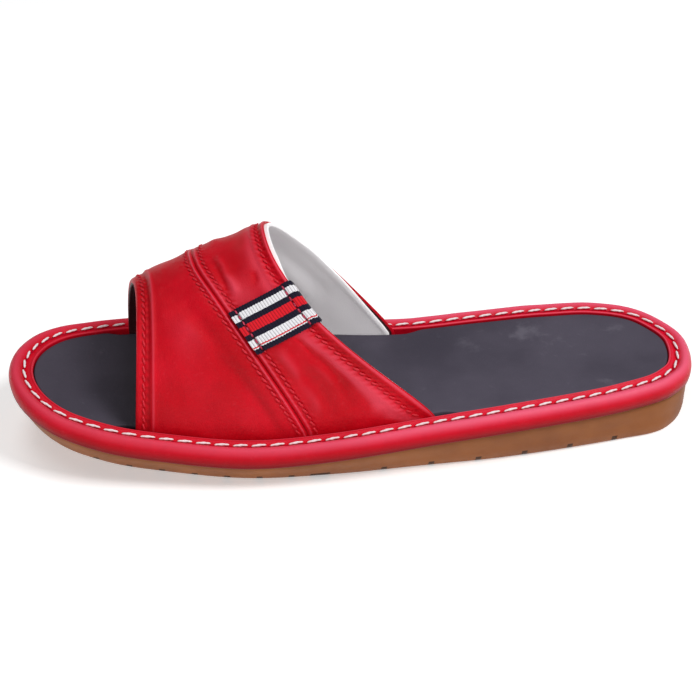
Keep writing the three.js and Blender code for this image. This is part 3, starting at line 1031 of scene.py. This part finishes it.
def fold_relief(along, turn):
    relief = np.zeros_like(along)
    for start, end, height, width in FOLDS:
        run = (np.array(end) - start) * FOLD_SIZE
        length = np.linalg.norm(run)
        run = run / length
        x = (along - start[0]) * SOLE_LENGTH
        y = (turn - start[1]) * ARCH_GIRTH
        share = (x * run[0] + y * run[1]) / length
        off = x * run[1] - y * run[0] + 0.25 * width * np.sin(share * 3.1)
        fade = smoothstep(share, -0.2, 0.25) * (1 - smoothstep(share, 0.7, 1.2))
        relief += fade * height * bump_at(off, 0, width)
    return FOLD_DEPTH * relief


def gathers(row, distance, turn, width, height):
    """Slanted gathers that a row of stitches draws into the leather on both sides of it."""
    off = distance - STITCH_ROWS[row][1]
    run = np.interp(turn, ROW_TURNS, ROW_RUNS[row])
    uneven = 0.65 + 0.2 * np.sin(run * 0.73 + row) + 0.15 * np.sin(run * 1.91 + 2 * row)
    wander = 0.35 * np.sin(run * 0.41 + 3 * row) + 0.3 * np.sin(run * 1.13)
    wave = np.cos(2 * np.pi * (run + wander + 0.5 * off) / PUCKER_PITCH)
    both_sides = bump_at(np.abs(off), 0.8 * width, 0.8 * width)
    return both_sides * uneven * height * wave - 0.4 * bump_at(off, 0, 0.5)


def edge_distances(along, turn):
    return [edge_distance(edge, along, turn) for edge in (front_edge, seam_line, collar_edge)]


def beside(distance, rows):
    """Sum of soft bumps at set distances from a line."""
    return sum(height * bump_at(distance, middle, reach) for middle, reach, height in rows)


def from_foot(turn, reach):
    """0 at the feet of the wall and 1 from a share of the turn up."""
    return smoothstep(np.minimum(turn, 1 - turn), 0.0, reach)


# Share of the turn over which relief fades in above a foot, and the turn of the wall's crest.
FOOT_FADE = 0.02
CREST_TURN = 0.62


def panel_relief(along, turn):
    """Folds and soft waves of the whole wall, lining and all."""
    front, seam, collar = edge_distances(along, turn)
    worn = smoothstep(front, 7, 12) * smoothstep(-collar, 4, 8) * (1 - 0.6 * bump_at(seam, 0, 3))
    soft = 0.25 * np.sin(along * 61 + turn * 9) * np.sin(turn * 17 + 1.1)
    return worn * (fold_relief(along, turn) + soft) * from_foot(turn, FOOT_FADE)


def detail_relief(along, turn):
    """Hems, seam and stitch rows of the outer leather, calmer where they cross the crest."""
    front, seam, collar = edge_distances(along, turn)
    calm = 1 - 0.8 * bump_at(turn, CREST_TURN, 0.09)
    hem = beside(front, HEM_RELIEF) + gathers(0, front, turn, *GATHERS[0])
    rolled = beside(collar, COLLAR_RELIEF) + gathers(3, collar, turn, *GATHERS[3]) * calm
    lap = 0.3 * (1 - smoothstep(-seam, 2, 9)) * (seam < 0)
    rows = gathers(1, seam, turn, *GATHERS[1]) + gathers(2, seam, turn, *GATHERS[2])
    total = hem * (0.4 + 0.6 * calm) + rolled + (lap + beside(seam, SEAM_RELIEF) + rows) * calm
    edge = smoothstep(front, 0, 1.2) * smoothstep(-collar, 0, 1.2)
    return total * edge * from_foot(turn, FOOT_FADE)


# Share of the sheet's rows at each foot that goes down behind the flange.
BELOW = 0.035


def turn_and_drop(v):
    """Turn across the arch, and how far a point goes down behind the flange, from 0 to 1."""
    turn = np.clip((v - BELOW) / (1 - 2 * BELOW), 0, 1)
    drop = np.clip(np.maximum(BELOW - v, v - 1 + BELOW) / BELOW, 0, 1)
    return turn, drop


def dropped(points, drop):
    bottom = wedge_top(points[:, 0]) + CLEARANCE
    points[:, 2] += (bottom - points[:, 2]) * drop
    return points


# Steps round the rim of a sheet, where it turns from its outer to its inner face.
RIM_STEPS = 7


def wall_path(outer_depth, inner_depth, first, last, outer_steps, inner_steps):
    """Columns round a sheet of the wall: run, depth, shift past the edge, and share of relief."""
    radius = (inner_depth - outer_depth) / 2
    middle = (inner_depth + outer_depth) / 2
    rim = np.linspace(0, np.pi, RIM_STEPS + 2)[1:-1]
    outer = [(run, outer_depth, 0.0, 1.0) for run in outer_steps]
    turns = [(radius * math.cos(angle), radius * (1 - math.sin(angle))) for angle in rim]
    collar_rim = [(last, middle - deep, -back, 0.0) for deep, back in turns]
    inner = [(run, inner_depth, 0.0, 0.0) for run in inner_steps[::-1]]
    front_rim = [(first, middle + deep, back, 0.0) for deep, back in turns]
    path = outer + collar_rim + inner + front_rim
    return np.array(path + path[:1])


LEATHER_STEPS = np.concatenate([
    np.linspace(0.02, 0.36, 42, endpoint=False),
    np.linspace(0.36, 0.84, 26, endpoint=False),
    np.linspace(0.84, 0.97, 18, endpoint=False),
    np.linspace(0.97, 1.1, 38, endpoint=False),
    np.linspace(1.1, 1.26, 20, endpoint=False),
    np.linspace(1.26, 1.7, 30, endpoint=False),
    np.linspace(1.7, 1.985, 38),
])
LEATHER_PATH = wall_path(0.0, LEATHER, 0.0, 2.0, LEATHER_STEPS, np.linspace(0.02, 1.98, 20))
LINING_START = 0.11
LINING_STEPS = np.concatenate([np.linspace(LINING_START + 0.01, 1.9, 44), np.linspace(1.905, 1.985, 14)])
LINING_TOP = LEATHER + SHEET_GAP
LINING_PATH = wall_path(LINING_TOP, LINING_TOP + LINING, LINING_START, 1.99, LINING_STEPS, LINING_STEPS)


def sheet_rows(path, u, v):
    rows = path[np.round(u * (len(path) - 1)).astype(int)]
    turn, drop = turn_and_drop(v)
    return rows, along_at(rows[:, 0], turn), turn, drop


def sheet_points(rows, along, turn, drop, out, past):
    point, outward, lengthwise = wall_frame(along, turn)
    placed = point + out[:, None] * outward + (rows[:, 2] + past)[:, None] * lengthwise
    return dropped(placed, drop)


def place_leather(u, v):
    rows, along, turn, drop = sheet_rows(LEATHER_PATH, u, v)
    folded = 1 - smoothstep(edge_distance(front_edge, along, turn), HEM_DEPTH, HEM_DEPTH + 0.8)
    depth = rows[:, 1] * (1 + (UPPER_WALL / LEATHER - 1) * folded)
    out = rows[:, 3] * detail_relief(along, turn) + panel_relief(along, turn) - depth
    return sheet_points(rows, along, turn, drop, out, 0)


def leather_painted_light(u, v):
    """Painted highlights on edges, ridges, fold crests and gathers, and painted shade in grooves, hollows
    and low on the wall.
    """
    rows, along, turn, _ = sheet_rows(LEATHER_PATH, u, v)
    front, seam, collar = edge_distances(along, turn)
    edges = beside(front, HEM_PAINTED_LIGHT) + beside(collar, COLLAR_PAINTED_LIGHT) + beside(seam, SEAM_PAINTED_LIGHT)
    edges += beside(collar, LOW_COLLAR_PAINTED_HIGHLIGHT) * smoothstep(turn, 0.2, 0.05)
    # Painted sheen on the rear panel above the ribbon, and painted shade in front of the seam.
    panels = beside(seam, REAR_PAINTED_SHEEN) * bump_at(turn, 0.34, 0.07)
    panels += beside(seam, FRONT_VALLEY_SHADE) * smoothstep(turn, 0.5, 0.3)
    # Painted light on the folds: lighter on their crests, darker in their hollows.
    panels += np.clip(panel_relief(along, turn) * 0.4, -0.45, 0.5)
    # Painted shade low on the wall by the flange, and painted light and shade along the stitch rows.
    marks = -0.08 * (1 - from_foot(turn, 0.05))
    for row, distance in enumerate((front, seam, seam, collar)):
        marks += MARKS[row] * gathers(row, distance, turn, MARK_WIDTH, 1.0)
    return (edges + panels + marks) * rows[:, 3]


def place_lining(u, v):
    rows, along, turn, drop = sheet_rows(LINING_PATH, u, v)
    to_inside = (rows[:, 1] - LINING_TOP) / LINING
    rolled = 0.4 * bump_at(edge_distance(collar_edge, along, turn), -1.2, 1.0) * to_inside
    out = panel_relief(along, turn) - rows[:, 1] - rolled
    rise = LINING_RISE * smoothstep(turn, 0.3, 0.42) * (1 - smoothstep(turn, 0.8, 1.0))
    rise -= LINING_DROP * smoothstep(turn, 0.9, 1.0)
    rise *= smoothstep(rows[:, 0], 1.9, 1.98)
    return sheet_points(rows, along, turn, drop, out, rise)


def make_upper():
    steps = len(LEATHER_PATH) - 1
    upper = laid_grid("upper_leather", steps, UPPER_ROWS, place_leather)
    add_tone(upper, leather_painted_light)
    smooth(upper, 70)
    material = upper_leather(((len(LEATHER_STEPS) + RIM_STEPS) / steps, 1 - 4 / steps))
    finish_piece(upper, material, "upper_leather", "upper")


def make_lining():
    steps = len(LINING_PATH) - 1
    lining = laid_grid("lining", steps, LINING_ROWS, place_lining)
    smooth(lining, 70)
    finish_piece(lining, lining_cloth((len(LINING_STEPS) + 3) / steps, 20 / steps), "lining")


RED_STITCH_SHARE = 0.92
RED_STITCH_RADIUS = 0.4
RED_STITCH_SLANT = -0.45
RED_STITCH_LIFT = 0.22
SMALL_STITCH_GRID = (8, 6)


def at_places(places, runs, values):
    return np.column_stack([np.interp(places, runs, column) for column in values.T])


def make_red_stitches():
    starts, ends, outwards = [], [], []
    for (edge, offset), runs in zip(STITCH_ROWS, ROW_RUNS):
        count = int(runs[-1] / PUCKER_PITCH)
        sides = []
        for side in (-1, 1):
            along, point, outward = row_line(edge, offset + side * RED_STITCH_SLANT)
            relief = detail_relief(along, ROW_TURNS) + panel_relief(along, ROW_TURNS)
            line = point + (relief + RED_STITCH_LIFT)[:, None] * outward
            places = (np.arange(count) + 0.5 + side * RED_STITCH_SHARE / 2) * PUCKER_PITCH
            sides.append(at_places(places, runs, line))
            facing = at_places(places, runs, outward)
        starts.append(sides[0])
        ends.append(sides[1])
        outwards.append(facing)
    model = stitch_model(PUCKER_PITCH * RED_STITCH_SHARE, RED_STITCH_RADIUS, *SMALL_STITCH_GRID)
    rows = stitched("red_stitches", model, *map(np.concatenate, (starts, ends, outwards)))
    finish_piece(rows, thread("red_thread", srgb(226, 34, 56), srgb(204, 16, 36)), "red_thread")


# Ribbon tab: ribbed strip from the seam over the collar edge, sewn down near both ends.
RIB_PITCH = 1.1
RIB_HEIGHT = 0.16
# A little thinner than in its solid, since the ribs stand on it.
RIBBON_THICKNESS = 0.8
# Distances of the two rows of stitches from the ribbon's start and from the collar's edge.
RIBBON_ROWS = (2.7, 2.9)
RIBBON_START = 1.05
RIBBON_COLUMNS = 190
RIBBON_INSIDE_COLUMNS = 59
RIBBON_ACROSS = 80
# The ribbon's width as a span of turn, measured along the collar's edge.
RIM_TURNS = (0.251, 0.271)
RIM_ENDS = [arch_point(collar_edge(turn), np.array(turn)) for turn in RIM_TURNS]
RIM_SPAN = np.linalg.norm(RIM_ENDS[1] - RIM_ENDS[0])
RIBBON_TURNS = (RIM_TURNS[1] - RIM_TURNS[0]) * RIBBON_WIDTH / RIM_SPAN


def ribbon_path(off):
    """Columns along the ribbon, over the collar edge and back inside: run, out and past."""
    corner = np.linspace(0, np.pi / 2, 9)
    inside = np.linspace(0, RIBBON_RETURN, RIBBON_INSIDE_COLUMNS + 1)[1:]
    columns = [(run, off, 0.0) for run in np.linspace(RIBBON_START, 2.0, RIBBON_COLUMNS)]
    columns += [(2.0, off * math.cos(a), off * math.sin(a)) for a in corner[1:]]
    columns += [(2.0, -UPPER_WALL - off * math.sin(a), off * math.cos(a)) for a in corner]
    columns += [(2.0, -UPPER_WALL - off, -back) for back in inside]
    return np.array(columns)


def ribbon_point(u, across, off):
    columns = ribbon_path(off)
    rows = columns[np.round(u * (len(columns) - 1)).astype(int)]
    middle = RIBBON_TURN[0] + (RIBBON_TURN[1] - RIBBON_TURN[0]) * (rows[:, 0] - 1)
    turn = middle + (0.5 - across) * RIBBON_TURNS
    along = along_at(rows[:, 0], turn)
    point, outward, lengthwise = wall_frame(along, turn)
    out = rows[:, 1] + panel_relief(along, turn) * (rows[:, 1] > 0)
    return point + out[:, None] * outward + rows[:, 2][:, None] * lengthwise


RIBBON_TOP = CLEARANCE + 0.9 * RIBBON_THICKNESS
RIBBON_COUNT = len(ribbon_path(RIBBON_TOP))
RIBBON_MIDDLE = ribbon_point(np.linspace(0, 1, RIBBON_COUNT), np.full(RIBBON_COUNT, 0.5), RIBBON_TOP)
RIBBON_RUN = run_along(RIBBON_MIDDLE)
RIBBON_OUTSIDE = RIBBON_RUN[RIBBON_COLUMNS - 1]
RIBBON_SEWN = (RIBBON_ROWS[0], RIBBON_OUTSIDE - RIBBON_ROWS[1])
RIBBON_STITCHES = 7
RIBBON_STITCH_RADIUS = 0.36
RIBBON_STITCH_SHARE = 0.72
END_FADE = 0.6


def ribbon_relief(run, across):
    ribs = RIB_HEIGHT * np.abs(np.sin(np.pi * run / RIB_PITCH)) ** 0.7
    sewn = np.minimum(sum(bump_at(run, row, 0.5) for row in RIBBON_SEWN), 1)
    first, last = RIBBON_SEWN
    ends = 1 - smoothstep(run, first, first + END_FADE) + smoothstep(run, last - END_FADE, last)
    plump = 0.3 * bump_at(run, RIBBON_OUTSIDE / 2, 9)
    selvedge = smoothstep(np.minimum(across, 1 - across), 0, 0.03)
    return (ribs + plump - 0.65 * sewn - 0.15 * ends) * selvedge - 0.1 * (1 - selvedge)


def place_ribbon(u, v):
    """The first half of v is the outer face and the second half the inner face."""
    across = np.where(v <= 0.5, v * 2, 2 - v * 2)
    run = RIBBON_RUN[np.round(u * (RIBBON_COUNT - 1)).astype(int)]
    serrated = 1 + 0.022 * np.sin(np.pi * run / RIB_PITCH) ** 2
    stepped = 0.02 * (run < RIBBON_SEWN[0]) - 0.015 * (run > RIBBON_SEWN[1]) * (run < RIBBON_OUTSIDE)
    spread = 0.5 + (across - 0.5) * serrated + stepped
    outer = ribbon_point(u, spread, RIBBON_TOP)
    inner = ribbon_point(u, spread, 0.6 * CLEARANCE)
    lifted = outer + ribbon_relief(run, across)[:, None] * unit(outer - inner)
    return np.where((v <= 0.5)[:, None], lifted, inner)


def make_ribbon():
    ribbon = laid_grid("ribbon_tab_cloth", RIBBON_COUNT - 1, RIBBON_ACROSS, place_ribbon)
    flat = corner_uv(ribbon)
    flat[:, 0] = np.interp(flat[:, 0], np.linspace(0, 1, RIBBON_COUNT), RIBBON_RUN / RIBBON_RUN[-1])
    flat[:, 1] = np.where(flat[:, 1] <= 0.5, flat[:, 1] * 2, 2 - flat[:, 1] * 2)
    ribbon.data.uv_layers.active.data.foreach_set("uv", flat.ravel())
    smooth(ribbon, 60)
    finish_piece(ribbon, grosgrain(RIBBON_RUN[-1], RIBBON_SEWN), "ribbon", "ribbon_tab")


def make_ribbon_stitches():
    starts, ends, outwards = [], [], []
    places = (np.arange(RIBBON_STITCHES) + 0.5) / RIBBON_STITCHES
    reach = RIBBON_STITCH_SHARE / 2 / RIBBON_STITCHES
    for row in RIBBON_SEWN:
        u = np.full(RIBBON_STITCHES, np.interp(row, RIBBON_RUN, np.linspace(0, 1, RIBBON_COUNT)))
        line = [ribbon_point(u, places + side * reach, RIBBON_TOP - 0.2) for side in (-1, 0, 1)]
        starts.append(line[0])
        ends.append(line[2])
        outwards.append(unit(line[1] - ribbon_point(u, places, 0)))
    length = RIBBON_STITCH_SHARE * RIBBON_WIDTH / RIBBON_STITCHES
    model = stitch_model(length, RIBBON_STITCH_RADIUS, *SMALL_STITCH_GRID)
    rows = stitched("ribbon_stitches", model, *map(np.concatenate, (starts, ends, outwards)))
    finish_piece(rows, thread("ribbon_thread", srgb(214, 70, 104), srgb(150, 16, 44)), "red_thread")


# Camera at the photograph's place and angle, floor and soft studio light.
CAMERA_AZIMUTH = -8.0
CAMERA_ELEVATION = 33.58
CAMERA_ROLL = 0.73
CAMERA_TARGET = (-2.5, 0, 28.0)
CAMERA_DISTANCE = 691.7
FOCAL_PIXELS = 1779
IMAGE_PIXELS = 700
SENSOR_WIDTH = 36
FLOOR_TONE = 0.95
FLOOR_GLOW = 0.38
WORLD_GLOW = 0.12
LIGHT_TARGET = Vector((0, 0, 0.03))
# Soft lights: name, place and size in metres, and power in watts.
LIGHTS = [
    ("key", (0.75, -0.45, 1.25), (0.55, 0.55), 13.5),
    ("overhead", (-0.35, 0.1, 1.3), (1.2, 0.5), 4.8),
    ("front", (-0.5, -1.1, 0.7), (0.8, 0.5), 2.8),
]


def make_camera():
    azimuth, elevation, roll = map(math.radians, (CAMERA_AZIMUTH, CAMERA_ELEVATION, CAMERA_ROLL))
    back = Vector((
        math.sin(azimuth) * math.cos(elevation),
        -math.cos(azimuth) * math.cos(elevation),
        math.sin(elevation),
    ))
    right = Vector((math.cos(azimuth), math.sin(azimuth), 0))
    up = back.cross(right)
    turned_right = math.cos(roll) * right + math.sin(roll) * up
    turned_up = math.cos(roll) * up - math.sin(roll) * right
    rotation = Matrix((turned_right, turned_up, back)).transposed().to_4x4()
    data = bpy.data.cameras.new("camera")
    data.sensor_width = SENSOR_WIDTH
    data.lens = FOCAL_PIXELS / IMAGE_PIXELS * SENSOR_WIDTH
    data.clip_start = 0.01
    camera = bpy.data.objects.new("camera", data)
    bpy.context.scene.collection.objects.link(camera)
    place = (Vector(CAMERA_TARGET) + back * CAMERA_DISTANCE) * MM
    camera.matrix_world = Matrix.Translation(place) @ rotation
    bpy.context.scene.camera = camera


def soft_light(name, place, size, power):
    data = bpy.data.lights.new(name, "AREA")
    data.shape = "RECTANGLE"
    data.size, data.size_y = size
    data.energy = power
    light = bpy.data.objects.new(name, data)
    light.location = place
    light.rotation_euler = (LIGHT_TARGET - Vector(place)).to_track_quat("-Z", "Y").to_euler()
    bpy.context.scene.collection.objects.link(light)


def make_studio():
    deselect()
    bpy.ops.mesh.primitive_plane_add(size=12)
    floor = bpy.context.object
    floor.name = "studio_floor"
    shader = Shader("studio_floor", Roughness=0.9)
    shader.set(Base_Color=(FLOOR_TONE,) * 3, Emission_Color=(1, 1, 1), Emission_Strength=FLOOR_GLOW)
    floor.data.materials.append(shader.material)
    world = bpy.data.worlds.new("studio")
    bpy.context.scene.world = world
    world.use_nodes = True
    background = world.node_tree.nodes["Background"]
    background.inputs["Color"].default_value = (1, 1, 1, 1)
    background.inputs["Strength"].default_value = WORLD_GLOW
    for light in LIGHTS:
        soft_light(*light)
    bpy.context.scene.view_settings.view_transform = "Standard"


make_camera()
make_outsole()
make_insole()
make_binding()
make_white_stitches()
make_upper()
make_lining()
make_red_stitches()
make_ribbon()
make_ribbon_stitches()
make_studio()
